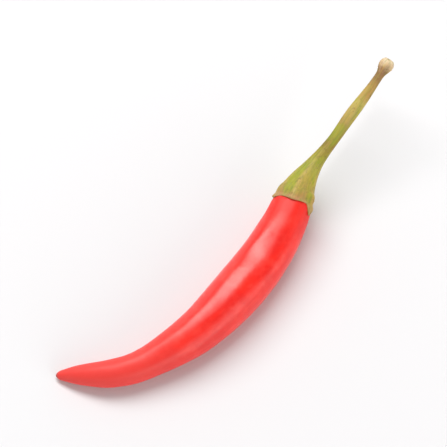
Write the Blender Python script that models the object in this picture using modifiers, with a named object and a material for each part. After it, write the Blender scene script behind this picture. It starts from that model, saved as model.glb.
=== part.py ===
"""A small red chili pepper, ripe and as picked, lying on a flat surface.

The pod is the fruit. The stalk is one green piece that widens into the calyx, a ribbed cup that
sits on the pod's shoulder and ends in five small teeth. Both are turned about one straight line and
then bent along the pepper's curved axis, which runs from the pod's tip to the cut end of the stalk.
The pod rests on a flat spot under its belly, whose middle is the origin, and on its tip.
"""

import math

import bmesh
import bpy
from mathutils import Vector

MM = 0.001

# Driving dimensions
POD_LENGTH = 60 * MM  # along the axis, from the tip to the shoulder
BELLY_RADIUS = 4.8 * MM  # where the pod is widest
STALK_LENGTH = 31.4 * MM  # along the axis, from the shoulder to the cut end
STALK_RADIUS = 1.0 * MM  # in the stalk's plain stretch
RIM_RADIUS = 3.68 * MM  # outside of the calyx at the shoulder
STALK_END_HEIGHT = 14.6 * MM  # of the axis above the surface
CLEARANCE = 0.3 * MM  # between the pod and the cup

# The pod's radius as a share of the belly's, at shares of the pod's length from the tip
POD_RADII = (
    (0.00, 0.13),
    (0.02, 0.21),
    (0.07, 0.385),
    (0.155, 0.535),
    (0.225, 0.59),
    (0.31, 0.65),
    (0.40, 0.775),
    (0.49, 0.885),
    (0.59, 0.975),
    (0.68, 1.00),
    (0.775, 0.99),
    (0.86, 0.935),
    (0.93, 0.875),
    (0.975, 0.81),
    (1.00, 0.63),
)
TIP_ROUND = 1.0 * MM  # length over which the tip closes
DOME_LENGTH = 2.6 * MM  # of the shoulder under the calyx

# Shallow lobes round the pod, and its dents as (share of the pod's length, degrees round it, depth,
# reach), where 0 degrees is the side inside the curve and 90 is the top
LOBES = 3
LOBE_SHARE = 0.012  # of the radius
LOBE_TWIST = 4.4  # radians that the lobes turn by along the pod
DENTS = (
    (0.20, 120, 0.16 * MM, 4.0 * MM),
    (0.52, 40, 0.14 * MM, 5.0 * MM),
    (0.80, 75, 0.18 * MM, 3.5 * MM),
    (0.90, 200, 0.20 * MM, 4.0 * MM),
)

# The stalk's radius as a share of the plain stretch's, at shares of its length from the shoulder
STALK_RADII = (
    (1.000, 1.00),
    (0.990, 1.26),
    (0.965, 1.38),
    (0.940, 1.18),
    (0.91, 0.86),
    (0.87, 0.80),
    (0.80, 0.88),
    (0.74, 1.02),
    (0.67, 1.18),
    (0.60, 1.22),
    (0.50, 1.12),
    (0.40, 1.06),
    (0.30, 1.27),
    (0.225, 1.62),
    (0.155, 2.17),
    (0.09, 2.78),
    (0.04, 3.28),
)
RIM_WALL = 0.33 * MM
KNOB_LENGTH = 3 * MM  # the swollen end, where the ribs fade out
CUT_FACE_DIP = 0.15 * MM  # hollow in the middle of the cut end
RIBS = 5
RIB_HEIGHT = 0.16 * MM
RIB_TURN = 20  # degrees
RIM_DROP = 0.65 * MM  # how far the whole rim reaches down the pod from the shoulder
# Each tooth of the rim as (degrees round it, length, half width in degrees)
TEETH = (
    (25, 0.5 * MM, 36),
    (92, 0.3 * MM, 34),
    (157, 2.0 * MM, 20),
    (235, 0.5 * MM, 30),
    (300, 0.4 * MM, 30),
)
TOOTH_ROOT = 2.2 * MM  # height of the band of cup that a tooth is drawn out of
RIM_SLANT = 0.3 * MM  # how far the rim and the shoulder under it rise and fall round the pod
RIM_SLANT_TURN = 160  # degrees round it to where the rim is highest
SLANT_REACH = 5 * MM  # along the axis, both ways from the shoulder

# The axis: its heading from +X in degrees, and its height in mm, at distances in mm from the tip
HEADINGS = (
    (0, -48.5),
    (4, -49),
    (8, -46.5),
    (12, -36),
    (16, -22),
    (20, -15.5),
    (24, -11),
    (29, -3.5),
    (35, 2.5),
    (41, 6.5),
    (47, 10.5),
    (53, 17),
    (57, 23.5),
    (61, 20.5),
    (65, 11.5),
    (71, 4.5),
    (76, 9),
    (81, 5.5),
    (86, 9),
    (91.4, 10),
)
HEIGHTS = (
    (0, 0.77),
    (4.3, 1.79),
    (9.2, 2.80),
    (13.5, 3.22),
    (18.4, 3.56),
    (23.2, 3.98),
    (28.5, 4.34),
    (34.4, 4.54),
    (40, 4.60),
    (45, 4.62),
    (50, 4.88),
    (55, 5.45),
    (60, 6.25),
    (65, 7.3),
    (71, 8.8),
    (80, 11.3),
)
REST_AT = 40.5 * MM  # from the tip to the middle of the flat spot

AXIS_STEP = 0.25 * MM
POD_SIDES = 40
POD_RINGS = 44
STALK_SIDES = 40
STALK_RINGS = 30
MERGE = 0.00001


def blend(stations, at):
    """A smooth curve through (place, value) stations, held level past either end."""
    places = [place for place, _ in stations]
    values = [value for _, value in stations]
    if at <= places[0]:
        return values[0]
    if at >= places[-1]:
        return values[-1]
    i = next(n for n, place in enumerate(places) if place >= at) - 1

    def slope(n):
        low, high = max(n - 1, 0), min(n + 1, len(places) - 1)
        return (values[high] - values[low]) / (places[high] - places[low])

    span = places[i + 1] - places[i]
    t = (at - places[i]) / span
    return (
        (2 * t**3 - 3 * t**2 + 1) * values[i]
        + (t**3 - 2 * t**2 + t) * span * slope(i)
        + (3 * t**2 - 2 * t**3) * values[i + 1]
        + (t**3 - t**2) * span * slope(i + 1)
    )


def axis_height(s):
    """Height of the axis above the surface, at s from the tip."""
    stations = (*HEIGHTS, ((POD_LENGTH + STALK_LENGTH) / MM, STALK_END_HEIGHT / MM))
    return blend(stations, s / MM) * MM


def axis_points():
    """Points of the axis every AXIS_STEP, with REST_AT above the origin."""
    count = round((POD_LENGTH + STALK_LENGTH) / AXIS_STEP)
    points = [Vector((0, 0, axis_height(0)))]
    for n in range(count):
        middle = (n + 0.5) * AXIS_STEP
        heading = math.radians(blend(HEADINGS, middle / MM))
        rise = axis_height((n + 1) * AXIS_STEP) - axis_height(n * AXIS_STEP)
        along = math.sqrt(AXIS_STEP**2 - rise**2)
        step = Vector((math.cos(heading) * along, math.sin(heading) * along, rise))
        points.append(points[-1] + step)
    rest = points[round(REST_AT / AXIS_STEP)]
    return [point - Vector((rest.x, rest.y, 0)) for point in points]


AXIS = axis_points()


def axis_frame(s):
    """The axis's point at s from the tip, with the level and the upright direction across it there."""
    place = min(max(s / AXIS_STEP, 0), len(AXIS) - 1.001)
    n = int(place)
    point = AXIS[n].lerp(AXIS[n + 1], place - n)
    before, after = AXIS[max(n - 3, 0)], AXIS[min(n + 4, len(AXIS) - 1)]
    tangent = (after - before).normalized()
    point += tangent * (s - min(max(s, 0), (len(AXIS) - 1) * AXIS_STEP))
    side = Vector((0, 0, 1)).cross(tangent).normalized()
    return point, side, tangent.cross(side)


def pod_radius(s):
    """The pod's mean radius at s from the tip."""
    radius = BELLY_RADIUS * blend(POD_RADII, s / POD_LENGTH)
    if s < TIP_ROUND:
        radius *= math.sqrt(max(0, 1 - (1 - s / TIP_ROUND) ** 2))
    if s > POD_LENGTH:
        radius *= math.sqrt(max(0, 1 - ((s - POD_LENGTH) / DOME_LENGTH) ** 2))
    return radius


def turned(name, profile, sides):
    """A closed mesh object turned about Z from (radius, height) points that start and end on Z."""
    mesh = bpy.data.meshes.new(name + "_profile")
    edges = [(n, n + 1) for n in range(len(profile) - 1)]
    mesh.from_pydata([(radius, 0, height) for radius, height in profile], edges, [])
    profile_object = bpy.data.objects.new(name + "_profile", mesh)
    bpy.context.scene.collection.objects.link(profile_object)
    screw = profile_object.modifiers.new("turn", "SCREW")
    screw.steps = screw.render_steps = sides
    screw.use_merge_vertices = True
    screw.merge_threshold = MERGE
    graph = bpy.context.evaluated_depsgraph_get()
    solid = bpy.data.meshes.new_from_object(profile_object.evaluated_get(graph))
    bpy.data.objects.remove(profile_object)
    shape = bmesh.new()
    shape.from_mesh(solid)
    bmesh.ops.remove_doubles(shape, verts=shape.verts, dist=MERGE)
    bmesh.ops.recalc_face_normals(shape, faces=shape.faces)
    shape.to_mesh(solid)
    shape.free()
    made = bpy.data.objects.new(name, solid)
    made.data.name = name
    return made


def rim_slant(radius, angle, s):
    """How far a point near the rim is moved along the axis, so that the calyx sits aslant."""
    lean = math.cos(angle - math.radians(RIM_SLANT_TURN)) * radius / RIM_RADIUS
    return RIM_SLANT * lean * math.exp(-(((s - POD_LENGTH) / SLANT_REACH) ** 2))


def bend(piece, shape_rule):
    """Gives each vertex its (radius, angle, place along the axis) by the rule, then lays it on the axis."""
    for vertex in piece.data.vertices:
        x, y, s = vertex.co
        radius, angle, s = shape_rule(math.hypot(x, y), math.atan2(y, x), s)
        s += rim_slant(radius, angle, s)
        point, side, up = axis_frame(s)
        vertex.co = point + radius * (math.cos(angle) * side + math.sin(angle) * up)
    piece.data.shade_smooth()


def dent_depth(angle, s):
    """How far the pod's skin is sunk by its dents."""
    depth = 0
    for share, degrees, deepest, reach in DENTS:
        turn = math.remainder(angle - math.radians(degrees), math.tau)
        across = turn * pod_radius(share * POD_LENGTH)
        along = s - share * POD_LENGTH
        depth += deepest * math.exp(-(across**2 + 0.4 * along**2) / reach**2 * 2)
    return depth


def pod_rule(radius, angle, s):
    """Lobes and dents of the pod, which fade out at its two ends."""
    fade = min(1, radius / (0.5 * BELLY_RADIUS))
    lobes = math.cos(LOBES * angle + LOBE_TWIST * s / POD_LENGTH)
    radius += fade * (LOBE_SHARE * radius * lobes - dent_depth(angle, s))
    return radius, angle, s


def make_pod():
    """The fruit, before its flat spot is cut."""
    end = POD_LENGTH + DOME_LENGTH
    places = [end * 0.5 * (1 + math.cos(math.pi * n / POD_RINGS)) for n in range(POD_RINGS + 1)]
    profile = [(pod_radius(s), s) for s in places]
    profile[0] = (0, end)
    profile[-1] = (0, 0)
    pod = turned("pod", profile, POD_SIDES)
    bend(pod, pod_rule)
    return pod


def cup_inside(s):
    """Radius of the calyx's hollow at s from the tip, clear of the pod."""
    start = pod_radius(POD_LENGTH) + CLEARANCE
    if s <= POD_LENGTH:
        return pod_radius(s) + CLEARANCE
    closed = (s - POD_LENGTH) / (DOME_LENGTH + CLEARANCE)
    return start * math.sqrt(max(0, 1 - closed**2))


def tooth_length(angle):
    """How far the rim reaches down the pod at this angle."""
    longest = 0
    for degrees, length, half_width in TEETH:
        turn = abs(math.remainder(angle - math.radians(degrees), math.tau))
        inside = max(0, 1 - turn / math.radians(half_width))
        longest = max(longest, length * inside**1.2)
    return RIM_DROP + longest


def stalk_rule(radius, angle, s):
    """Ribs on the outside of the cup and stalk, and teeth drawn out of the rim."""
    outside = radius > cup_inside(s) + 0.3 * RIM_WALL or s > POD_LENGTH + DOME_LENGTH + 2 * CLEARANCE
    if outside and radius > 0.5 * STALK_RADIUS:
        ribs = math.cos(RIBS * (angle - math.radians(RIB_TURN)))
        share = min(1, radius / (2.4 * STALK_RADIUS), (POD_LENGTH + STALK_LENGTH - s) / KNOB_LENGTH)
        radius += RIB_HEIGHT * share * ribs
    band = POD_LENGTH + TOOTH_ROOT
    if s < band:
        pull = (band - s) / TOOTH_ROOT * tooth_length(angle)
        radius += pod_radius(s - pull) - pod_radius(s)
        s -= pull
    return radius, angle, s


def make_stalk():
    """The stalk with its calyx, as one piece."""
    rim, end = POD_LENGTH, POD_LENGTH + STALK_LENGTH  # the rim before its teeth are drawn out
    outside = [(0, end - CUT_FACE_DIP), (0.6 * STALK_RADIUS, end - 0.5 * CUT_FACE_DIP)]
    for n in range(STALK_RINGS):
        share = STALK_RADII[0][0] * (1 - n / STALK_RINGS) + STALK_RADII[-1][0] * n / STALK_RINGS
        radii = tuple(reversed(STALK_RADII))
        outside.append((STALK_RADIUS * blend(radii, share), POD_LENGTH + STALK_LENGTH * share))
    lip = [
        (RIM_RADIUS - 0.06 * MM, rim + 0.6 * MM),
        (RIM_RADIUS, rim + 0.15 * MM),
        (RIM_RADIUS - 0.3 * RIM_WALL, rim),
        (cup_inside(rim) + 0.1 * RIM_WALL, rim),
    ]
    top = POD_LENGTH + DOME_LENGTH + CLEARANCE
    depths = [rim + share * (top - rim) for share in (0.04, 0.2, 0.38, 0.56, 0.72, 0.86, 0.95)]
    inside = [(cup_inside(s), s) for s in depths]
    profile = [*outside, *lip, *inside, (0, top)]
    stalk = turned("stalk", profile, STALK_SIDES)
    bend(stalk, stalk_rule)
    return stalk


def finish(piece, collection, colour, roughness):
    """Puts a piece in its collection with its own plain material."""
    collection.objects.link(piece)
    material = bpy.data.materials.new(piece.name)
    material.use_nodes = True
    shader = material.node_tree.nodes["Principled BSDF"]
    shader.inputs["Base Color"].default_value = (*colour, 1)
    shader.inputs["Roughness"].default_value = roughness
    shader.inputs["Metallic"].default_value = 0
    material.diffuse_color = (*colour, 1)
    piece.data.materials.append(material)


def rest_flat(pod, cutters):
    """Cuts away what would lie below the surface, which leaves the flat spot and the tip's foot."""
    bpy.ops.mesh.primitive_cube_add(size=1, location=(0, 0, -10 * MM))
    block = bpy.context.object
    block.name = "surface_block"
    block.scale = (4 * POD_LENGTH, 4 * POD_LENGTH, 20 * MM)
    bpy.ops.object.transform_apply(location=False, rotation=False, scale=True)
    for old in list(block.users_collection):
        old.objects.unlink(block)
    cutters.objects.link(block)
    block.hide_render = True
    block.display_type = "WIRE"
    cut = pod.modifiers.new("flat_spot", "BOOLEAN")
    cut.operation = "DIFFERENCE"
    cut.object = block


def main():
    for old in list(bpy.data.objects):
        bpy.data.objects.remove(old)
    pepper = bpy.data.collections.new("chili_pepper")
    cutters = bpy.data.collections.new("cutters")
    for made in (pepper, cutters):
        bpy.context.scene.collection.children.link(made)
    pod = make_pod()
    finish(pod, pepper, (0.72, 0.012, 0.012), 0.22)
    rest_flat(pod, cutters)
    stalk = make_stalk()
    finish(stalk, pepper, (0.25, 0.33, 0.07), 0.5)


main()
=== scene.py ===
"""A ripe red chili pepper, as picked, lying on a white floor in soft studio light.

The pepper is two grown pieces: the pod and the stalk with its calyx. Each is first turned about a
straight line, in a space where x and y go across the pepper and z is the distance from the pod's
tip. A Geometry Nodes tree then lays it along the pepper's curved axis. The tree keeps each point's
straight place as the attribute "skin", in which the patterns of the finishes are drawn.
"""

from __future__ import annotations

import logging
import math
from dataclasses import astuple, dataclass, field
from enum import Enum

import bpy
import numpy as np
from mathutils import Matrix, Vector

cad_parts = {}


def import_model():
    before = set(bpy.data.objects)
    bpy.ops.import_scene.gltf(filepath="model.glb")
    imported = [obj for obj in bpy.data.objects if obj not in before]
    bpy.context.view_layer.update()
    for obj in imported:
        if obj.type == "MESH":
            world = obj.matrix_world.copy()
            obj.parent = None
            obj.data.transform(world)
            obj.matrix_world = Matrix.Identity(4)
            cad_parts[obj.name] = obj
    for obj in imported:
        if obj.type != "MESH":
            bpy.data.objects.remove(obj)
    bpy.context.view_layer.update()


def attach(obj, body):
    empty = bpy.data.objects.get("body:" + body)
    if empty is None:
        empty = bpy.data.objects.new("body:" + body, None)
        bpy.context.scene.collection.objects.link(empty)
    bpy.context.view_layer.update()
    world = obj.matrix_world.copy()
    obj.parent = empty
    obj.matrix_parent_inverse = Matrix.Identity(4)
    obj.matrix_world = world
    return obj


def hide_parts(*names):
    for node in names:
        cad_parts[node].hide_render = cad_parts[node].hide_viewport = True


MM = 0.001
LOG = logging.getLogger("chili_pepper")

Pair = tuple[float, float]
Triple = tuple[float, float, float]
Colour = tuple[float, float, float, float]
Stations = tuple[Pair, ...]
Tree = bpy.types.NodeTree
Socket = bpy.types.NodeSocket
Sockets = bpy.types.bpy_prop_collection
Piece = bpy.types.Object
Material = bpy.types.Material

MATH = "ShaderNodeMath"
VECTOR = "ShaderNodeVectorMath"
RANGE = "ShaderNodeMapRange"  # takes a value, its two limits and what they turn to
NOISE = "ShaderNodeTexNoise"
NOISE_SPREAD = (0.3, 0.7)  # between which most of a noise's values lie


class Slot(Enum):
    """The record's material slots."""

    POD = "pod"
    STALK = "stalk"


# Shared helpers


def srgb(code: str) -> Colour:
    """Turns an sRGB hex colour into linear colour.

    Args:
        code: Six hex digits, such as "C81410".

    Returns:
        Linear red, green, blue and an alpha of 1.
    """
    parts = [int(code[i : i + 2], 16) / 255 for i in (0, 2, 4)]
    linear = [c / 12.92 if c <= 0.04045 else ((c + 0.055) / 1.055) ** 2.4 for c in parts]
    return (linear[0], linear[1], linear[2], 1.0)


def smooth(stations: Stations, at: np.ndarray | float) -> np.ndarray:
    """Follows a smooth curve through stations, level past either end.

    Args:
        stations: Pairs of place and value, in order of place.
        at: The places to read.

    Returns:
        The values there.
    """
    places, values = np.array(stations, dtype=float).T
    at = np.asarray(at, dtype=float)
    low = np.maximum(np.arange(len(places)) - 1, 0)
    high = np.minimum(np.arange(len(places)) + 1, len(places) - 1)
    slopes = (values[high] - values[low]) / (places[high] - places[low])
    i = np.clip(np.searchsorted(places, at) - 1, 0, len(places) - 2)
    span = places[i + 1] - places[i]
    t = np.clip((at - places[i]) / span, 0, 1)
    return (
        (2 * t**3 - 3 * t**2 + 1) * values[i]
        + (t**3 - 2 * t**2 + t) * span * slopes[i]
        + (3 * t**2 - 2 * t**3) * values[i + 1]
        + (t**3 - t**2) * span * slopes[i + 1]
    )


def turn_between(angles: np.ndarray, degrees: float) -> np.ndarray:
    """The signed turn in radians from a direction in degrees to each angle, at most half a turn."""
    return np.mod(angles - math.radians(degrees) + math.pi, math.tau) - math.pi


def new_object(name: str, data: bpy.types.ID) -> Piece:
    """Makes an object and links it to the scene.

    Args:
        name: Its name.
        data: Its mesh, curve, camera or light.

    Returns:
        The object.
    """
    made = bpy.data.objects.new(name, data)
    bpy.context.scene.collection.objects.link(made)
    return made


def set_inputs(tree: Tree, node: bpy.types.Node, inputs: dict[int | str, object]) -> None:
    """Sets and links a node's inputs.

    Args:
        tree: The node tree it is in.
        node: The node.
        inputs: For each input, by name or index, an output socket to link or a value to set.
    """
    for key, value in inputs.items():
        if isinstance(value, Socket):
            tree.links.new(value, node.inputs[key])
        else:
            node.inputs[key].default_value = value


def add_node(
    tree: Tree, kind: str, inputs: dict[int | str, object] | None = None, **settings: object
) -> bpy.types.Node:
    """Adds a node with its settings, values and links.

    Args:
        tree: The node tree it goes in.
        kind: The node's type name.
        inputs: What set_inputs takes.
        **settings: The node's own properties, set before its inputs.

    Returns:
        The new node.
    """
    node = tree.nodes.new(kind)
    for name, value in settings.items():
        setattr(node, name, value)
    set_inputs(tree, node, inputs or {})
    return node


def start_tree(name: str, inputs: dict[str, str]) -> Tree:
    """Starts a Geometry Nodes tree that takes a mesh and a material and gives a mesh.

    Args:
        name: The tree's name.
        inputs: The kind of each further input, by its name.

    Returns:
        The tree with its inputs and its output.
    """
    tree = bpy.data.node_groups.new(name, "GeometryNodeTree")
    for given, kind in {"Geometry": "Geometry", **inputs, "Material": "Material"}.items():
        tree.interface.new_socket(given, in_out="INPUT", socket_type=f"NodeSocket{kind}")
    tree.interface.new_socket("Geometry", in_out="OUTPUT", socket_type="NodeSocketGeometry")
    return tree


def end_tree(tree: Tree, geometry: Socket, material: Socket) -> None:
    """Ends a Geometry Nodes tree: makes copies real, dresses them and puts them out.

    Args:
        tree: The tree.
        geometry: What the tree has made.
        material: The tree's input for the material.
    """
    real = add_node(tree, "GeometryNodeRealizeInstances", {"Geometry": geometry}).outputs[0]
    sockets = {"Geometry": real, "Material": material}
    dressed = add_node(tree, "GeometryNodeSetMaterial", sockets).outputs[0]
    add_node(tree, "NodeGroupOutput", {"Geometry": dressed})


def run_tree(piece: Piece, tree: Tree, values: dict[str, object]) -> None:
    """Runs a Geometry Nodes tree on a piece and leaves it a smooth plain mesh.

    Args:
        piece: The object whose mesh goes in.
        tree: The tree.
        values: The value of each of the tree's inputs after the mesh, by its name.
    """
    modifier = piece.modifiers.new(tree.name, "NODES")
    modifier.node_group = tree
    for item in tree.interface.items_tree:
        if item.item_type == "SOCKET" and item.in_out == "INPUT" and item.name in values:
            modifier[item.identifier] = values[item.name]
    graph = bpy.context.evaluated_depsgraph_get()
    made = bpy.data.meshes.new_from_object(piece.evaluated_get(graph), depsgraph=graph)
    piece.modifiers.clear()
    old = piece.data
    piece.data = made
    made.name = piece.name
    bpy.data.meshes.remove(old)
    made.shade_smooth()


# The form


@dataclass(frozen=True)
class Axis:
    """The curved line that the whole pepper lies along, from the pod's tip to the stalk's cut end."""

    pod_length: float = 60 * MM
    stalk_length: float = 31.4 * MM
    rest_at: float = 40.5 * MM  # from the tip to the middle of the flat spot, which is the origin
    step: float = 0.25 * MM
    headings: Stations = (  # degrees from +X, at millimetres from the tip
        (0, -48.5), (4, -49), (8, -46.5), (12, -36), (16, -22), (20, -15.5), (24, -11), (29, -3.5),
        (35, 2.5), (41, 6.5), (47, 10.5), (53, 17), (57, 23.5), (61, 20.5), (65, 11.5), (71, 4.5),
        (76, 9), (81, 5.5), (86, 9), (91.4, 10),
    )
    heights: Stations = (  # millimetres above the floor, at millimetres from the tip
        (0, 0.77), (4.3, 1.79), (9.2, 2.80), (13.5, 3.22), (18.4, 3.56), (23.2, 3.98),
        (28.5, 4.34), (34.4, 4.54), (40, 4.60), (45, 4.62), (50, 4.88), (55, 5.45), (60, 6.25),
        (65, 7.3), (71, 8.8), (80, 11.3), (91.4, 14.6),
    )

    @property
    def length(self) -> float:
        """The whole length along the axis."""
        return self.pod_length + self.stalk_length

    def points(self) -> np.ndarray:
        """Walks the axis in equal steps.

        Returns:
            One row of x, y and z per point, with the resting point above the origin.
        """
        count = round(self.length / self.step)
        ends = np.arange(count + 1) * self.step
        heading = np.radians(smooth(self.headings, (ends[:-1] + self.step / 2) / MM))
        height = smooth(self.heights, ends / MM) * MM
        rise = np.diff(height)
        level = np.sqrt(self.step**2 - rise**2)
        x = np.concatenate(([0], np.cumsum(np.cos(heading) * level)))
        y = np.concatenate(([0], np.cumsum(np.sin(heading) * level)))
        rest = round(self.rest_at / self.step)
        return np.stack((x - x[rest], y - y[rest], height), axis=1)

    def guide(self) -> Piece:
        """Makes the curve that the Geometry Nodes tree follows.

        Returns:
            The curve's object, which is removed when the pieces are laid.
        """
        points = self.points()
        curve = bpy.data.curves.new("axis_guide", "CURVE")
        curve.dimensions = "3D"
        spline = curve.splines.new("POLY")
        spline.points.add(len(points) - 1)
        spline.points.foreach_set("co", np.column_stack((points, np.ones(len(points)))).ravel())
        return new_object("axis_guide", curve)


@dataclass(frozen=True)
class Slant:
    """How the calyx and the shoulder under it sit askew on the axis."""

    height: float = 0.3 * MM  # the most that a point at the rim's radius is moved along the axis
    degrees: float = 160
    reach: float = 5 * MM
    rim_radius: float = 3.72 * MM


@dataclass(frozen=True)
class Waves:
    """Slow waves in a skin, which fade out towards the axis."""

    depth: float
    length: float
    seed: float
    fade_radius: float


@dataclass
class Turning:
    """A surface turned about z as rings of points, with a point on the axis at either end."""

    name: str
    radii: np.ndarray  # one row per ring, one column per side
    places: np.ndarray  # distances along the axis, in the same rows and columns
    marks: dict[str, np.ndarray] = field(default_factory=dict)  # more values for the finishes

    def build(self) -> Piece:
        """Makes the closed straight mesh, with the marks as attributes.

        Returns:
            The object, linked to the scene.
        """
        rings, sides = self.radii.shape
        angles = np.arange(sides) / sides * math.tau
        across = np.stack((np.cos(angles), np.sin(angles)), axis=1)
        xy = self.radii[:, :, None] * across[None]
        body = np.concatenate((xy, self.places[:, :, None]), axis=2).reshape(-1, 3)
        poles = np.array([[0, 0, self.places[0].mean()], [0, 0, self.places[-1].mean()]])
        corner = np.arange(rings * sides).reshape(rings, sides)
        after = np.roll(corner, -1, axis=1)
        quads = np.stack((corner[:-1], after[:-1], after[1:], corner[1:]), axis=2).reshape(-1, 4)
        first, last = rings * sides, rings * sides + 1
        fans = [(first, after[0, i], corner[0, i]) for i in range(sides)]
        fans += [(last, corner[-1, i], after[-1, i]) for i in range(sides)]
        mesh = bpy.data.meshes.new(self.name)
        mesh.from_pydata(np.concatenate((body, poles)).tolist(), [], quads.tolist() + fans)
        for name, values in self.marks.items():
            full = np.concatenate((values.ravel(), [values[0].mean(), values[-1].mean()]))
            mesh.attributes.new(name, "FLOAT", "POINT").data.foreach_set("value", full)
        return new_object(self.name, mesh)


@dataclass
class Bender:
    """Lays straight turned pieces along the axis with one Geometry Nodes tree."""

    axis: Axis
    slant: Slant
    wave_squeeze: float = 0.7  # under 1, so that waves are longer along the pepper than round it
    wave_level: float = 0.62  # over the noise's middle, so that more skin is sunk than raised
    lowest: Triple = (-1.0, -1.0, 0.0)  # the floor, with no real limit to the sides
    wave_inputs: tuple[str, ...] = ("Wave depth", "Wave length", "Wave seed", "Wave fade radius")
    tree: Tree = field(init=False)
    guide: Piece = field(init=False)

    def __post_init__(self) -> None:
        """Makes the guide curve and the tree."""
        self.guide = self.axis.guide()
        self.tree = self.make_tree()

    def make_tree(self) -> Tree:
        """Builds the tree: waves in the skin, the slant of the rim, the bend and the floor.

        Returns:
            The tree, with its sizes as named inputs.
        """
        inputs = {"Axis": "Object", **dict.fromkeys(self.wave_inputs, "Float")}
        tree = start_tree("lay_along_axis", inputs)
        given = add_node(tree, "NodeGroupInput").outputs
        place = add_node(tree, "GeometryNodeInputPosition").outputs[0]
        kept = add_node(
            tree,
            "GeometryNodeStoreNamedAttribute",
            {"Geometry": given["Geometry"], "Name": "skin", "Value": place},
            data_type="FLOAT_VECTOR",
        ).outputs[0]
        xyz = add_node(tree, "ShaderNodeSeparateXYZ", {0: place}).outputs
        flat = add_node(tree, "ShaderNodeCombineXYZ", {0: xyz[0], 1: xyz[1]}).outputs[0]
        moved = self.waved(tree, given, flat, xyz)
        along = self.slanted(tree, moved, xyz[2])
        sockets = {"Geometry": kept, "Position": self.bent(tree, given, moved, along)}
        laid = add_node(tree, "GeometryNodeSetPosition", sockets).outputs[0]
        end_tree(tree, laid, given["Material"])
        return tree

    def waved(self, tree: Tree, given: Sockets, flat: Socket, xyz: Sockets) -> Socket:
        """Adds the nodes that push a point in or out by slow noise.

        Args:
            tree: The tree.
            given: The tree's inputs.
            flat: The point's place across the axis.
            xyz: The point's straight coordinates.

        Returns:
            The moved place across the axis.
        """
        squeezed = add_node(tree, MATH, {0: xyz[2], 1: self.wave_squeeze}, operation="MULTIPLY").outputs[0]
        where = add_node(tree, "ShaderNodeCombineXYZ", {0: xyz[0], 1: xyz[1], 2: squeezed}).outputs[0]
        per_metre = add_node(tree, MATH, {0: 1.0, 1: given["Wave length"]}, operation="DIVIDE").outputs[0]
        sockets = {"Vector": where, "W": given["Wave seed"], "Scale": per_metre, "Detail": 1.0}
        noise = add_node(tree, NOISE, sockets, noise_dimensions="4D").outputs[0]
        low = add_node(tree, MATH, {0: noise, 1: self.wave_level}, operation="SUBTRACT").outputs[0]
        depth = add_node(tree, MATH, {0: low, 1: given["Wave depth"]}, operation="MULTIPLY").outputs[0]
        radius = add_node(tree, VECTOR, {0: flat}, operation="LENGTH").outputs["Value"]
        sockets = {0: radius, 1: given["Wave fade radius"]}
        fade = add_node(tree, MATH, sockets, operation="DIVIDE", use_clamp=True).outputs[0]
        push = add_node(tree, MATH, {0: depth, 1: fade}, operation="MULTIPLY").outputs[0]
        out = add_node(tree, VECTOR, {0: flat}, operation="NORMALIZE").outputs[0]
        return add_node(tree, VECTOR, {0: out, 1: push, 2: flat}, operation="MULTIPLY_ADD").outputs[0]

    def slanted(self, tree: Tree, flat: Socket, along: Socket) -> Socket:
        """Adds the nodes that set the rim askew.

        Args:
            tree: The tree.
            flat: The point's place across the axis.
            along: The point's distance from the tip.

        Returns:
            The distance from the tip with the slant.
        """
        turn = math.radians(self.slant.degrees)
        high = (math.cos(turn) / self.slant.rim_radius, math.sin(turn) / self.slant.rim_radius, 0)
        lean = add_node(tree, VECTOR, {0: flat, 1: high}, operation="DOT_PRODUCT").outputs["Value"]
        off = add_node(tree, MATH, {0: along, 1: self.axis.pod_length}, operation="SUBTRACT").outputs[0]
        ratio = add_node(tree, MATH, {0: off, 1: self.slant.reach}, operation="DIVIDE").outputs[0]
        square = add_node(tree, MATH, {0: ratio, 1: ratio}, operation="MULTIPLY").outputs[0]
        minus = add_node(tree, MATH, {0: square, 1: -1.0}, operation="MULTIPLY").outputs[0]
        bell = add_node(tree, MATH, {0: minus}, operation="EXPONENT").outputs[0]
        scaled = add_node(tree, MATH, {0: bell, 1: self.slant.height}, operation="MULTIPLY").outputs[0]
        return add_node(tree, MATH, {0: scaled, 1: lean, 2: along}, operation="MULTIPLY_ADD").outputs[0]

    def bent(self, tree: Tree, given: Sockets, flat: Socket, along: Socket) -> Socket:
        """Adds the nodes that carry a point to its place on the axis, no lower than the floor.

        Args:
            tree: The tree.
            given: The tree's inputs.
            flat: The point's place across the axis.
            along: The point's distance from the tip.

        Returns:
            The point's place in the scene.
        """
        curve = add_node(tree, "GeometryNodeObjectInfo", {"Object": given["Axis"]}).outputs["Geometry"]
        sockets = {"Curves": curve, "Length": along}
        on = add_node(tree, "GeometryNodeSampleCurve", sockets, mode="LENGTH", use_all_curves=True).outputs
        ahead = on["Tangent"]
        side = add_node(tree, VECTOR, {0: (0, 0, 1), 1: ahead}, operation="CROSS_PRODUCT").outputs[0]
        level = add_node(tree, VECTOR, {0: side}, operation="NORMALIZE").outputs[0]
        rising = add_node(tree, VECTOR, {0: ahead, 1: level}, operation="CROSS_PRODUCT").outputs[0]
        parts = add_node(tree, "ShaderNodeSeparateXYZ", {0: flat}).outputs
        at = on["Position"]
        for direction, share in ((level, parts[0]), (rising, parts[1])):
            sockets = {0: direction, 1: share, 2: at}
            at = add_node(tree, VECTOR, sockets, operation="MULTIPLY_ADD").outputs[0]
        return add_node(tree, VECTOR, {0: at, 1: self.lowest}, operation="MAXIMUM").outputs[0]

    def lay(self, piece: Piece, finish: Material, waves: Waves) -> None:
        """Bends a straight piece and leaves it a plain mesh.

        Args:
            piece: The straight turned piece.
            finish: Its material.
            waves: The waves in its skin.
        """
        sizes = dict(zip(self.wave_inputs, astuple(waves)))
        run_tree(piece, self.tree, {"Axis": self.guide, "Material": finish, **sizes})

    def clear(self) -> None:
        """Removes the guide curve."""
        bpy.data.objects.remove(self.guide)


# Finishes


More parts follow.
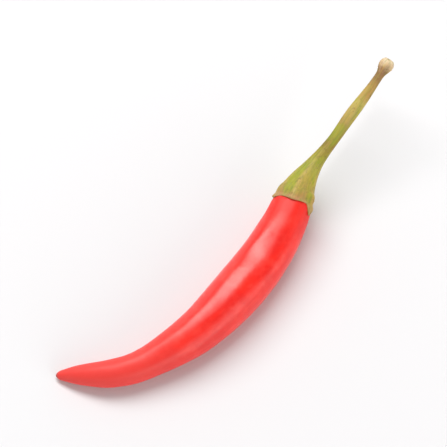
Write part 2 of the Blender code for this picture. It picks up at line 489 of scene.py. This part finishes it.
@dataclass(frozen=True)
class Pattern:
    """Noise with spots of a real size, drawn out along the pepper where its squeeze is under 1."""

    size: float
    detail: float
    squeeze: float = 1.0
    depth: float = 0.0  # of the relief that it makes

    def draw(self, tree: Tree, skin: Socket) -> Socket:
        """Adds the pattern.

        Args:
            tree: The material's tree.
            skin: The coordinates to draw it in, with z along the pepper.

        Returns:
            Its value at each point.
        """
        factors = (1.0, 1.0, self.squeeze)
        drawn = add_node(tree, VECTOR, {0: skin, 1: factors}, operation="MULTIPLY").outputs[0]
        sockets = {"Vector": drawn, "Scale": 1 / self.size, "Detail": self.detail}
        return add_node(tree, NOISE, sockets).outputs[0]


@dataclass(frozen=True)
class Layer:
    """A colour that shows over the one below it by a share that follows some value."""

    code: str
    limits: Pair  # of the value
    shares: Pair  # at those limits
    eased: bool = False

    def over(self, tree: Tree, under: Socket | Colour, value: Socket, within: Socket | float = 1.0) -> Socket:
        """Adds the nodes that lay the colour over another.

        Args:
            tree: The material's tree.
            under: The colour below it.
            value: What the share follows.
            within: A second share that the first is multiplied by.

        Returns:
            The mixed colour.
        """
        ends = dict(enumerate((value, *self.limits, *self.shares)))
        kind = "SMOOTHSTEP" if self.eased else "LINEAR"
        share = add_node(tree, RANGE, ends, interpolation_type=kind).outputs[0]
        part = add_node(tree, MATH, {0: share, 1: within}, operation="MULTIPLY").outputs[0]
        sockets = {0: part, 6: under, 7: srgb(self.code)}  # 6 and 7 are the two colours
        return add_node(tree, "ShaderNodeMix", sockets, data_type="RGBA").outputs[2]


def stack_layers(tree: Tree, colour: Socket | Colour, layers: tuple[tuple[Layer, Socket], ...]) -> Socket:
    """Lays colours one over another.

    Args:
        tree: The material's tree.
        colour: The lowest colour.
        layers: The layers above it and the value that each one follows.

    Returns:
        The mixed colour.
    """
    for layer, value in layers:
        colour = layer.over(tree, colour, value)
    return colour


def stack_bumps(tree: Tree, skin: Socket, patterns: tuple[Pattern, ...]) -> Socket:
    """Adds one pattern's relief on another's as bump.

    Args:
        tree: The material's tree.
        skin: The coordinates to draw them in.
        patterns: The patterns, with their depths.

    Returns:
        The bumped normal.
    """
    normal = {}
    for pattern in patterns:
        sockets = {"Height": pattern.draw(tree, skin), "Distance": pattern.depth, **normal}
        normal = {"Normal": add_node(tree, "ShaderNodeBump", sockets).outputs[0]}
    return normal["Normal"]


def set_stops(ramp: bpy.types.Node, stops: tuple[tuple[float, Colour], ...]) -> Socket:
    """Gives a colour ramp its stops.

    Args:
        ramp: The ramp's node.
        stops: Places and colours, in order of place.

    Returns:
        The ramp's colour.
    """
    elements = ramp.color_ramp.elements
    while len(elements) < len(stops):
        elements.new(0.5)
    for element, (place, colour) in zip(elements, stops):
        element.position = place
        element.color = colour
    return ramp.outputs[0]


def new_material(name: str) -> Material:
    """Makes a material.

    Args:
        name: Its name.

    Returns:
        The material, with its node tree in use.
    """
    material = bpy.data.materials.new(name)
    material.use_nodes = True
    return material


def shaded(material: Material, inputs: dict[str, object]) -> Material:
    """Sets and links the inputs of a material's shader, and gives the material back."""
    set_inputs(material.node_tree, material.node_tree.nodes["Principled BSDF"], inputs)
    return material


@dataclass(frozen=True)
class WaxedSkin:
    """The ripe pod's cuticle: taut, waxed and glossy over saturated red flesh.

    The wax gives long soft highlights, brightest on the belly, and the flesh glows a little where
    it is thin. The red is deeper in slow patches and along faint strands, paler in pin-prick cells
    and brown at the tip's scar. It is hazy in pale smudges, partly a whitish wax film and partly
    painted sheen, and towards the tip it turns a paler salmon, which is a painted haze of reflected
    light over skin that is also duller there. The cells and the grain are finer on a real pod and
    are drawn just coarse enough to show.

    No roughness is below 0.275, because the render's denoising draws thin lines over the skin
    where it passes that value.
    """

    axis: Axis
    deep: str = "DC1003"
    bright: Layer = Layer("EC1E09", (0.35, 0.68), (0.0, 1.0), eased=True)
    strand: Layer = Layer("D00904", (0.40, 0.75), (0.0, 0.35))
    cell: Layer = Layer("F0402A", (0.10, 0.35), (0.10, 0.0))
    # pale pink smudges over the whole pod: partly a whitish wax film and partly painted sheen
    bloom_and_sheen: Layer = Layer("FC6659", (0.45, 0.75), (0.0, 0.16))
    # paler salmon towards the tip: a painted haze of reflected light over the red
    tip: Layer = Layer("DE3C36", (9 * MM, 32 * MM), (0.85, 0.0), eased=True)
    shoulder: Layer = Layer("D81909", (51 * MM, 60 * MM), (0.0, 0.7), eased=True)
    scar: Layer = Layer("93443A", (0.08 * MM, 0.75 * MM), (0.8, 0.0), eased=True)
    patches: Pattern = Pattern(7 * MM, 3.0)
    smudges: Pattern = Pattern(1.5 * MM, 2.0)
    dull_spots: Pattern = Pattern(2.4 * MM, 2.0)
    ripples: Pattern = Pattern(1.9 * MM, 1.5, depth=0.06 * MM)
    strands: Pattern = Pattern(0.45 * MM, 2.0, squeeze=0.05, depth=0.006 * MM)
    grains: Pattern = Pattern(0.22 * MM, 2.0, depth=0.003 * MM)
    cell_size: float = 0.35 * MM
    roughness: Pair = (0.278, 0.335)
    unwaxed_roughness: float = 0.26  # added where there is no wax
    polish: Pair = (0.10, 0.38)  # coat weight without wax and with it
    wax_stops: Stations = (  # shares of the full wax, at shares of the length
        (0.18, 0.0), (0.50, 0.75), (0.68, 1.0), (0.86, 1.0), (0.94, 0.15),
    )

    def make(self) -> Material:
        """Builds the material.

        Returns:
            The material.
        """
        material = new_material("waxed_chili_skin")
        tree = material.node_tree
        skin = add_node(tree, "ShaderNodeAttribute", attribute_name="skin").outputs["Vector"]
        along = add_node(tree, "ShaderNodeSeparateXYZ", {0: skin}).outputs[2]
        sockets = {"Vector": skin, "Scale": 1 / self.cell_size}
        layers = (
            (self.bright, self.patches.draw(tree, skin)),
            (self.strand, self.strands.draw(tree, skin)),
            (self.cell, add_node(tree, "ShaderNodeTexVoronoi", sockets).outputs[0]),
            (self.bloom_and_sheen, self.smudges.draw(tree, skin)),
            (self.tip, along),
            (self.shoulder, along),
            (self.scar, along),
        )
        wax = self.wax(tree, along)
        polish = add_node(tree, RANGE, {0: wax, 3: self.polish[0], 4: self.polish[1]}).outputs[0]
        ends = dict(enumerate((self.dull_spots.draw(tree, skin), *NOISE_SPREAD, *self.roughness)))
        rough = add_node(tree, RANGE, ends).outputs[0]
        matt = add_node(tree, RANGE, {0: wax, 3: self.unwaxed_roughness, 4: 0.0}).outputs[0]
        inputs = {
            "Base Color": stack_layers(tree, srgb(self.deep), layers),
            "Roughness": add_node(tree, MATH, {0: rough, 1: matt}, operation="ADD").outputs[0],
            "IOR": 1.41,
            "Coat Weight": polish,
            "Coat Roughness": 0.28,
            "Subsurface Weight": 0.12,
            "Subsurface Radius": (1.0, 0.2, 0.1),
            "Subsurface Scale": 1.2 * MM,
            "Normal": stack_bumps(tree, skin, (self.ripples, self.strands, self.grains)),
        }
        return shaded(material, inputs)

    def wax(self, tree: Tree, along: Socket) -> Socket:
        """Adds the wax, which is full on the belly and thin at the tip and the shoulder.

        Args:
            tree: The material's tree.
            along: The distance from the tip.

        Returns:
            How much wax there is, from 0 to 1.
        """
        share = add_node(tree, RANGE, {0: along, 2: self.axis.pod_length}).outputs[0]
        stops = tuple((place, (wax, wax, wax, 1.0)) for place, wax in self.wax_stops)
        return set_stops(add_node(tree, "ShaderNodeValToRGB", {0: share}), stops)


@dataclass(frozen=True)
class GreenStem:
    """Fresh calyx and stalk: satin, ribbed green tissue that browns and dries to a pale corky end.

    It scatters light, so that ribs and fibres show by soft shade more than by gleam. Its fibres
    and grain are finer on a real stalk and are drawn just coarse enough to show.
    """

    axis: Axis
    along_colours: tuple[tuple[float, str], ...] = (  # at shares of the stalk's length
        (0.00, "A87A42"), (0.05, "A28A40"), (0.12, "A49436"), (0.22, "9E973A"), (0.30, "988F28"),
        # the olive-brown at 0.40 is partly brown colouring and partly a painted cast shadow of a crossing
        # stalk
        (0.40, "7A5A20"), (0.57, "AA9048"), (0.68, "B0A050"), (0.78, "AE8844"), (0.86, "8E6A3A"),
        (0.92, "8E6440"), (0.955, "C8AC84"), (1.00, "E6DABC"),
    )
    green: Layer = Layer("8F9716", (0.44, 0.58), (0.0, 0.75))
    crest: Layer = Layer("B69A50", (0.1, 1.0), (0.0, 0.7))
    edge: Layer = Layer("AC8464", (0.3, 1.0), (0.0, 0.55))
    streak: Layer = Layer("66742A", (0.45, 0.7), (0.0, 0.48))
    fleck: Layer = Layer("66502A", (0.60, 0.72), (0.0, 0.5))
    unevenness: Pattern = Pattern(3 * MM, 2.0)
    shift: float = 3 * MM  # the most that the colours are moved along the stalk
    patches: Pattern = Pattern(2.2 * MM, 1.0, squeeze=0.5)
    streaks: Pattern = Pattern(0.35 * MM, 2.0, squeeze=0.06)
    flecks: Pattern = Pattern(0.9 * MM, 4.0)
    fibres: Pattern = Pattern(0.25 * MM, 3.0, squeeze=0.06, depth=0.05 * MM)
    grains: Pattern = Pattern(0.3 * MM, 3.0, depth=0.02 * MM)
    dries_at: Pair = (82 * MM, 86 * MM)  # distances from the pod's tip where the green ends
    roughness: Pair = (0.42, 0.60)

    def make(self) -> Material:
        """Builds the material.

        Returns:
            The material.
        """
        material = new_material("fresh_green_stem")
        tree = material.node_tree
        skin, crest, edge = (
            add_node(tree, "ShaderNodeAttribute", attribute_name=name).outputs[output]
            for name, output in (("skin", "Vector"), ("crest", "Fac"), ("edge", "Fac"))
        )
        along = add_node(tree, "ShaderNodeSeparateXYZ", {0: skin}).outputs[2]
        sockets = {0: along, 1: self.dries_at[0], 2: self.dries_at[1], 3: 1.0, 4: 0.0}
        fresh = add_node(tree, RANGE, sockets).outputs[0]
        tissue = self.along_ramp(tree, skin, along)
        flecks = self.flecks.draw(tree, skin)
        layers = (
            (self.crest, crest),
            (self.edge, edge),
            (self.streak, self.streaks.draw(tree, skin)),
            (self.fleck, flecks),
        )
        tissue = self.green.over(tree, tissue, self.patches.draw(tree, skin), within=fresh)
        ends = dict(enumerate((flecks, *NOISE_SPREAD, *self.roughness)))
        inputs = {
            "Base Color": stack_layers(tree, tissue, layers),
            "Roughness": add_node(tree, RANGE, ends).outputs[0],
            "IOR": 1.42,
            "Subsurface Weight": 0.1,
            "Subsurface Radius": (0.6, 0.8, 0.2),
            "Subsurface Scale": 0.6 * MM,
            "Normal": stack_bumps(tree, skin, (self.fibres, self.grains)),
        }
        return shaded(material, inputs)

    def along_ramp(self, tree: Tree, skin: Socket, along: Socket) -> Socket:
        """Colours the stalk by the distance from the rim, a little unevenly.

        Args:
            tree: The material's tree.
            skin: The skin's own coordinates.
            along: The distance from the pod's tip.

        Returns:
            The colour.
        """
        sockets = {0: self.unevenness.draw(tree, skin), 3: -self.shift, 4: self.shift}
        shift = add_node(tree, RANGE, sockets).outputs[0]
        place = add_node(tree, MATH, {0: along, 1: shift}, operation="ADD").outputs[0]
        sockets = {0: place, 1: self.axis.pod_length, 2: self.axis.length}
        share = add_node(tree, RANGE, sockets).outputs[0]
        stops = tuple((where, srgb(code)) for where, code in self.along_colours)
        return set_stops(add_node(tree, "ShaderNodeValToRGB", {0: share}), stops)


@dataclass(frozen=True)
class Cork:
    """Dry corky tissue of the small raised pores on the stalk: matt and tan, so they look dusty."""

    brown: str = "7A6438"
    tan: str = "A8925E"
    mottle: Pattern = Pattern(0.2 * MM, 2.0)

    def make(self) -> Material:
        """Builds the material.

        Returns:
            The material.
        """
        material = new_material("dry_cork")
        tree = material.node_tree
        place = add_node(tree, "ShaderNodeTexCoord").outputs["Object"]
        stops = ((0.0, srgb(self.brown)), (1.0, srgb(self.tan)))
        ramp = add_node(tree, "ShaderNodeValToRGB", {0: self.mottle.draw(tree, place)})
        return shaded(material, {"Base Color": set_stops(ramp, stops), "Roughness": 0.8})


# The pieces


@dataclass
class Pod:
    """The red fruit, with its lobes, dents, furrowed shoulder and the scar at its tip."""

    axis: Axis
    belly_radius: float = 4.8 * MM
    tip_round: float = 1.0 * MM
    dome_length: float = 2.6 * MM
    lobes: int = 3
    lobe_share: float = 0.012
    lobe_twist: float = 4.4
    relief_fade: float = 0.5  # relief is full where the radius is over this share of the belly's
    dent_stretch: float = 0.4  # under 1, so that dents are longer along the pod than round it
    furrow_depth: float = 0.035 * MM
    furrow_reach: float = 8 * MM
    furrow_sink: float = 1.2  # in furrow depths, so that furrows sink the skin more than raise it
    furrows: tuple[Triple, ...] = ((7, 1.0, 0.8), (12, 0.6, 2.1))  # count, share, turn
    waves: Waves = Waves(0.34 * MM, 5 * MM, 3.0, 2.4 * MM)
    radii: Stations = (  # shares of the belly's radius, at shares of the pod's length
        (0.00, 0.13), (0.02, 0.21), (0.07, 0.385), (0.155, 0.535), (0.225, 0.59), (0.31, 0.65),
        (0.40, 0.775), (0.49, 0.885), (0.59, 0.975), (0.68, 1.00), (0.775, 0.99), (0.86, 0.935),
        (0.93, 0.875), (0.975, 0.81), (0.99, 0.76), (1.00, 0.70),
    )
    dents: tuple[tuple[float, float, float, float], ...] = (  # share, degrees, depth, reach
        (0.20, 120, 0.16 * MM, 4.0 * MM), (0.52, 40, 0.14 * MM, 5.0 * MM),
        (0.775, 89, 0.45 * MM, 4.2 * MM), (0.90, 200, 0.20 * MM, 4.0 * MM),
    )
    sides: int = 144
    rings: int = 380

    def radius(self, s: np.ndarray | float) -> np.ndarray:
        """The pod's mean radius.

        Args:
            s: Distances from the tip.

        Returns:
            The radii there.
        """
        s = np.asarray(s, dtype=float)
        radius = self.belly_radius * smooth(self.radii, s / self.axis.pod_length)
        tip = np.sqrt(np.clip(1 - np.clip(1 - s / self.tip_round, 0, 1) ** 2, 0, 1))
        past = np.clip((s - self.axis.pod_length) / self.dome_length, 0, 1)
        return radius * tip * np.sqrt(1 - past**2)

    def sunk(self, angle: np.ndarray, s: np.ndarray) -> np.ndarray:
        """How far the skin is sunk by the dents.

        Args:
            angle: Angles round the axis.
            s: Distances from the tip.

        Returns:
            The depths there.
        """
        depth = np.zeros(np.broadcast(angle, s).shape)
        for share, degrees, deepest, reach in self.dents:
            across = turn_between(angle, degrees) * self.radius(share * self.axis.pod_length)
            along = s - share * self.axis.pod_length
            depth += deepest * np.exp(-(across**2 + self.dent_stretch * along**2) / reach**2 * 2)
        return depth

    def furrowed(self, angle: np.ndarray, s: np.ndarray) -> np.ndarray:
        """How far the faint furrows that run down from the shoulder raise the skin."""
        fade = self.furrow_depth * np.exp(-(((s - self.axis.pod_length) / self.furrow_reach) ** 2))
        return fade * (sum(k * np.cos(n * angle + turn) for n, k, turn in self.furrows) - self.furrow_sink)

    def build(self, bender: Bender, finish: Material) -> Piece:
        """Makes the pod.

        Args:
            bender: Lays it along the axis.
            finish: Its material.

        Returns:
            The pod as a plain mesh in its place.
        """
        end = self.axis.pod_length + self.dome_length
        turns = np.linspace(0, math.pi, self.rings + 2)[1:-1]
        s = (end * 0.5 * (1 - np.cos(turns)))[:, None]
        angle = (np.arange(self.sides) / self.sides * math.tau)[None]
        radius = self.radius(s) + 0 * angle
        fade = np.minimum(1, radius / (self.relief_fade * self.belly_radius))
        lobes = np.cos(self.lobes * angle + self.lobe_twist * s / self.axis.pod_length)
        shape = self.lobe_share * radius * lobes - self.sunk(angle, s) + self.furrowed(angle, s)
        pod = Turning("pod_skin", radius + fade * shape, s + 0 * angle).build()
        bender.lay(pod, finish, self.waves)
        return pod


@dataclass
class Stalk:
    """The green stalk, ribbed and fibrous, with its calyx and its swollen end."""

    axis: Axis
    pod: Pod
    radius: float = 1.0 * MM
    rim_radius: float = 3.60 * MM
    rim_drop: float = 0.65 * MM  # how far the whole rim reaches past the shoulder
    rim_inset: float = 0.15 * MM  # how far the outside starts and ends inside the axis's stretch
    hug: float = 0.12 * MM  # how far the lip is let into the pod's skin
    ribs: int = 5
    rib_height: float = 0.16 * MM
    rib_turn: float = 20
    rib_fade: float = 2.4  # ribs are full where the radius is over so many of the stalk's
    fine_ribs: int = 15
    fine_rib_height: float = 0.035 * MM
    fine_rib_turn: float = 1.3
    fine_rib_sway: float = 3
    fine_rib_sway_length: float = 9 * MM
    fine_rib_tint: float = 0.35  # how much paler its crests are, as a share of the ribs' own
    knob_length: float = 3 * MM
    knob_ring_reach: float = 3.5 * MM
    knob_ring_height: float = 0.03 * MM
    knob_ring_spacing: float = 0.62 * MM
    knob_ring_tilt: float = 2
    tooth_root: float = 2.2 * MM
    tooth_sharpness: float = 1.2
    cut_dip: float = 0.15 * MM
    edge_height: float = 1.6 * MM  # how far up from the rim the edge's colour fades out
    pores_from: float = 0.8 * MM  # up from the rim
    crowding: float = 1.15  # over 1, so that rings are closer together at the cut end
    waves: Waves = Waves(0.10 * MM, 2.6 * MM, 8.0, 1.2 * MM)
    radii: Stations = (  # shares of the plain stretch's radius, at shares of the stalk's length
        (0.00, 3.60), (0.04, 3.28), (0.09, 2.78), (0.155, 2.17), (0.225, 1.62), (0.30, 1.27),
        (0.40, 1.06), (0.50, 1.07), (0.60, 1.14), (0.67, 1.11), (0.74, 0.98), (0.80, 0.88),
        (0.87, 0.80), (0.91, 0.86), (0.940, 1.18), (0.965, 1.38), (0.990, 1.26), (1.000, 1.00),
    )
    teeth: tuple[Triple, ...] = (  # degrees, length, half width in degrees
        (25, 0.5 * MM, 36), (92, 0.3 * MM, 34), (157, 2.0 * MM, 20), (235, 0.5 * MM, 30),
        (300, 0.4 * MM, 30),
    )
    sides: int = 160
    rings: int = 300
    face_rings: int = 8
    lip_rings: int = 9
    hollow_rings: int = 16
    hollow_room: float = 0.1 * MM  # over the pod's dome

    def tooth_length(self, angle: np.ndarray) -> np.ndarray:
        """How far the rim reaches down the pod.

        Args:
            angle: Angles round the axis.

        Returns:
            The lengths there.
        """
        longest = np.zeros_like(angle)
        for degrees, length, half_width in self.teeth:
            inside = np.clip(1 - np.abs(turn_between(angle, degrees)) / math.radians(half_width), 0, 1)
            longest = np.maximum(longest, length * inside**self.tooth_sharpness)
        return self.rim_drop + longest

    def profile(self) -> tuple[np.ndarray, np.ndarray, np.ndarray]:
        """The section's line from the cut end, down the outside, round the lip and up the hollow.

        Returns:
            Radii, distances from the tip, and 1 on the outside, a half on the lip or 0 in the hollow.
        """
        start, end = self.axis.pod_length, self.axis.length
        face = np.linspace(0.1, 0.95, self.face_rings)
        face_s = end - self.cut_dip * (1 - face**2)
        shares = 1 - np.linspace(0, 1, self.rings) ** self.crowding
        outer = self.radius * smooth(self.radii, shares)
        outer_s = start + (self.axis.stalk_length - 2 * self.rim_inset) * shares + self.rim_inset
        inner_at_rim = float(self.pod.radius(start)) - self.hug
        middle, half = (self.rim_radius + inner_at_rim) / 2, (self.rim_radius - inner_at_rim) / 2
        turns = np.linspace(0.1, 0.9, self.lip_rings) * math.pi
        lip = middle + half * np.cos(turns)
        lip_s = start + self.rim_inset * (1 - np.sin(turns))
        depth = np.linspace(0.05, 0.98, self.hollow_rings)
        hollow_s = start + depth * (self.pod.dome_length + self.hollow_room)
        hollow = inner_at_rim * np.sqrt(1 - depth**2)
        radii = np.concatenate((self.radius * face, outer, lip, hollow))
        places = np.concatenate((face_s, outer_s, lip_s, hollow_s))
        counts = (len(face) + len(outer), len(lip), len(hollow))
        return radii, places, np.repeat((1.0, 0.5, 0.0), counts)

    def build(self, bender: Bender, finish: Material) -> Piece:
        """Makes the stalk with its calyx.

        Args:
            bender: Lays it along the axis.
            finish: Its material.

        Returns:
            The stalk as a plain mesh in its place.
        """
        radii, places, outside = (values[:, None] for values in self.profile())
        angle = (np.arange(self.sides) / self.sides * math.tau)[None]
        up, left = places - self.axis.pod_length, self.axis.length - places
        near_end = np.clip(left / self.knob_length, 0, 1)
        share = outside * np.minimum(np.minimum(1, radii / (self.rib_fade * self.radius)), near_end)
        main = np.cos(self.ribs * turn_between(angle, self.rib_turn))
        sway = self.fine_rib_sway * np.sin(up / self.fine_rib_sway_length)
        lesser = np.cos(self.fine_ribs * angle + self.fine_rib_turn + sway)
        radius = radii + share * (self.rib_height * main + self.fine_rib_height * lesser)
        knob = np.clip(1 - left / self.knob_ring_reach, 0, 1) * outside
        ringed = np.cos(places / self.knob_ring_spacing * math.tau + self.knob_ring_tilt * np.sin(angle))
        radius += knob * self.knob_ring_height * ringed
        pull = np.clip((self.tooth_root - up) / self.tooth_root, 0, 1) * self.tooth_length(angle)
        radius += self.pod.radius(places - pull) - self.pod.radius(places + 0 * angle)
        marks = {
            "crest": (main + self.fine_rib_tint * lesser) * share,
            "edge": np.clip(1 - up / self.edge_height, 0, 1) + 0 * angle,
            "outer": (outside == 1) * (up > self.pores_from) + 0 * angle,
        }
        stalk = Turning("stalk_and_calyx", radius, places - pull, marks).build()
        bender.lay(stalk, finish, self.waves)
        return stalk


@dataclass
class Pores:
    """Small raised pores scattered over the stalk and calyx."""

    density: float = 4.5e5  # per square metre
    smallest: float = 0.05 * MM
    largest: float = 0.11 * MM
    flatness: float = 0.45
    seed: int = 7

    def make_tree(self) -> Tree:
        """Builds the tree that scatters flattened beads over a surface.

        Returns:
            The tree, with its sizes as named inputs.
        """
        floats = dict.fromkeys(("Per square metre", "Smallest", "Largest"), "Float")
        tree = start_tree("scatter_pores", {**floats, "Seed": "Int"})
        given = add_node(tree, "NodeGroupInput").outputs
        outer = add_node(tree, "GeometryNodeInputNamedAttribute", {"Name": "outer"}).outputs["Attribute"]
        sockets = {0: given["Per square metre"], 1: outer}
        density = add_node(tree, MATH, sockets, operation="MULTIPLY").outputs[0]
        sockets = {"Mesh": given["Geometry"], "Density": density, "Seed": given["Seed"]}
        points = add_node(tree, "GeometryNodeDistributePointsOnFaces", sockets).outputs
        bead = add_node(tree, "GeometryNodeMeshIcoSphere", {"Subdivisions": 2}).outputs[0]
        sockets = {2: given["Smallest"], 3: given["Largest"], "Seed": given["Seed"]}
        size = add_node(tree, "FunctionNodeRandomValue", sockets, data_type="FLOAT").outputs[1]
        low = add_node(tree, MATH, {0: size, 1: self.flatness}, operation="MULTIPLY").outputs[0]
        scale = add_node(tree, "ShaderNodeCombineXYZ", {0: size, 1: size, 2: low}).outputs[0]
        sockets = {"Instance": bead, "Scale": scale, **{key: points[key] for key in ("Points", "Rotation")}}
        beads = add_node(tree, "GeometryNodeInstanceOnPoints", sockets).outputs[0]
        end_tree(tree, beads, given["Material"])
        return tree

    def build(self, stalk: Piece, finish: Material) -> Piece:
        """Scatters the pores over a copy of the stalk and keeps only them.

        Args:
            stalk: The finished stalk.
            finish: The pores' material.

        Returns:
            The pores as one plain mesh.
        """
        pores = new_object("stalk_pores", stalk.data.copy())
        sizes = {"Smallest": self.smallest, "Largest": self.largest, "Per square metre": self.density}
        run_tree(pores, self.make_tree(), {"Seed": self.seed, "Material": finish, **sizes})
        return pores


# The studio


@dataclass(frozen=True)
class SoftBox:
    """A soft box that faces the pepper.

    Its directions are shares of the view's right, up and back. Its radiance is how bright its face
    is, in the unit of the tent's strength.
    """

    name: str
    towards: Triple  # its direction from the pepper
    along: Triple  # the direction of its width
    size: Pair
    radiance: float


@dataclass
class Studio:
    """A white floor in a light tent with two soft boxes, and the camera.

    The key box stands above the pepper in the view and draws the long highlight. The fill box
    stands opposite and lightens the shadow. The tent is dimmer overhead, so that it doesn't veil
    the red.
    """

    azimuth: float = -45
    elevation: float = 68
    distance: float = 2.5
    target: Triple = (6.51 * MM, 11.25 * MM, 4.5 * MM)
    view_width: float = 82.7 * MM  # of the field at the pepper
    sensor_width: float = 36  # millimetres, as the camera takes it
    boxes: tuple[SoftBox, ...] = (
        SoftBox("key_softbox", (-0.17, 0.75, 0.64), (-0.79, 0.61, 0), (0.88, 0.34), 9.4),
        SoftBox("fill_softbox", (0.62, -0.55, 0.56), (0.57, 0.82, 0), (0.9, 0.6), 1.9),
    )
    light_distance: float = 0.9
    light_colour: Triple = (1.0, 0.98, 0.95)  # linear
    tent_sides: float = 1.65
    tent_top: float = 0.38
    tent_fade: Pair = (0.1, 0.42)  # sines of the elevations between which the tent dims
    floor_size: float = 4.0

    def view_axes(self) -> tuple[Vector, Vector, Vector]:
        """The view's own directions.

        Returns:
            The picture's right and up, and the direction from the pepper to the camera.
        """
        turn, rise = math.radians(self.azimuth), math.radians(self.elevation)
        right = Vector((math.cos(turn), math.sin(turn), 0))
        back = Vector((math.sin(turn) * math.cos(rise), -math.cos(turn) * math.cos(rise), math.sin(rise)))
        return right, back.cross(right), back

    def place_camera(self) -> None:
        """Makes the camera, which sees the field at the pepper whole."""
        lens = bpy.data.cameras.new("camera")
        lens.sensor_width = self.sensor_width
        lens.lens = self.sensor_width * self.distance / self.view_width
        lens.clip_start = 0.01
        camera = new_object("camera", lens)
        back = self.view_axes()[2]
        camera.location = Vector(self.target) + back * self.distance
        camera.rotation_euler = back.to_track_quat("Z", "Y").to_euler()
        bpy.context.scene.camera = camera

    def place_light(self, box: SoftBox) -> None:
        """Hangs a soft box.

        Args:
            box: Its directions, size and brightness.
        """
        lamp = bpy.data.lights.new(box.name, "AREA")
        lamp.shape = "RECTANGLE"
        lamp.size, lamp.size_y = box.size
        lamp.energy = box.radiance * math.pi * box.size[0] * box.size[1]
        lamp.color = self.light_colour
        axes = self.view_axes()
        back = sum((axis * share for axis, share in zip(axes, box.towards)), Vector()).normalized()
        width = sum((axis * share for axis, share in zip(axes, box.along)), Vector())
        width = (width - back * width.dot(back)).normalized()
        light = new_object(box.name, lamp)
        light.location = Vector(self.target) + back * self.light_distance
        light.rotation_euler = Matrix((width, back.cross(width), back)).transposed().to_euler()

    def lay_floor(self) -> None:
        """Lays the floor of matt white card, which spreads light evenly and takes soft shadows."""
        half = self.floor_size / 2
        corners = [(-half, -half, 0), (half, -half, 0), (half, half, 0), (-half, half, 0)]
        mesh = bpy.data.meshes.new("floor")
        mesh.from_pydata(corners, [], [(0, 1, 2, 3)])
        card = shaded(new_material("matt_white_card"), {"Base Color": srgb("DCDDE1"), "Roughness": 0.9})
        mesh.materials.append(card)
        floor = new_object("floor", mesh)

    def light_up(self) -> None:
        """Sets the world, which is the light tent, and hangs the soft boxes."""
        scene = bpy.context.scene
        world = bpy.data.worlds.new("light_tent")
        world.use_nodes = True
        tree = world.node_tree
        direction = add_node(tree, "ShaderNodeTexCoord").outputs["Generated"]
        up = add_node(tree, "ShaderNodeSeparateXYZ", {0: direction}).outputs[2]
        sockets = dict(enumerate((up, *self.tent_fade, self.tent_sides, self.tent_top)))
        strength = add_node(tree, RANGE, sockets).outputs[0]
        inputs = {"Color": (*self.light_colour, 1.0), "Strength": strength}
        set_inputs(tree, tree.nodes["Background"], inputs)
        scene.world = world
        scene.view_settings.view_transform = "Standard"
        for box in self.boxes:
            self.place_light(box)

    def build(self) -> None:
        """Sets up the whole studio."""
        self.lay_floor()
        self.light_up()
        self.place_camera()


def main() -> None:
    """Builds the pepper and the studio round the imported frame."""
    logging.basicConfig(level=logging.INFO, format="%(name)s: %(message)s")
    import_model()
    axis = Axis()
    bender = Bender(axis, Slant())
    pod = Pod(axis)
    fruit = pod.build(bender, WaxedSkin(axis).make())
    stalk = Stalk(axis, pod).build(bender, GreenStem(axis).make())
    bender.clear()
    pores = Pores().build(stalk, Cork().make())
    pieces = ((fruit, Slot.POD, "pod"), (stalk, Slot.STALK, "stalk"), (pores, Slot.STALK, None))
    for piece, slot, node in pieces:
        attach(piece, "root")
        if node:
            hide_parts(node)
        LOG.info("%s: %d faces", piece.name, len(piece.data.polygons))
    Studio().build()
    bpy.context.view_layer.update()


if __name__ == "__main__":
    main()
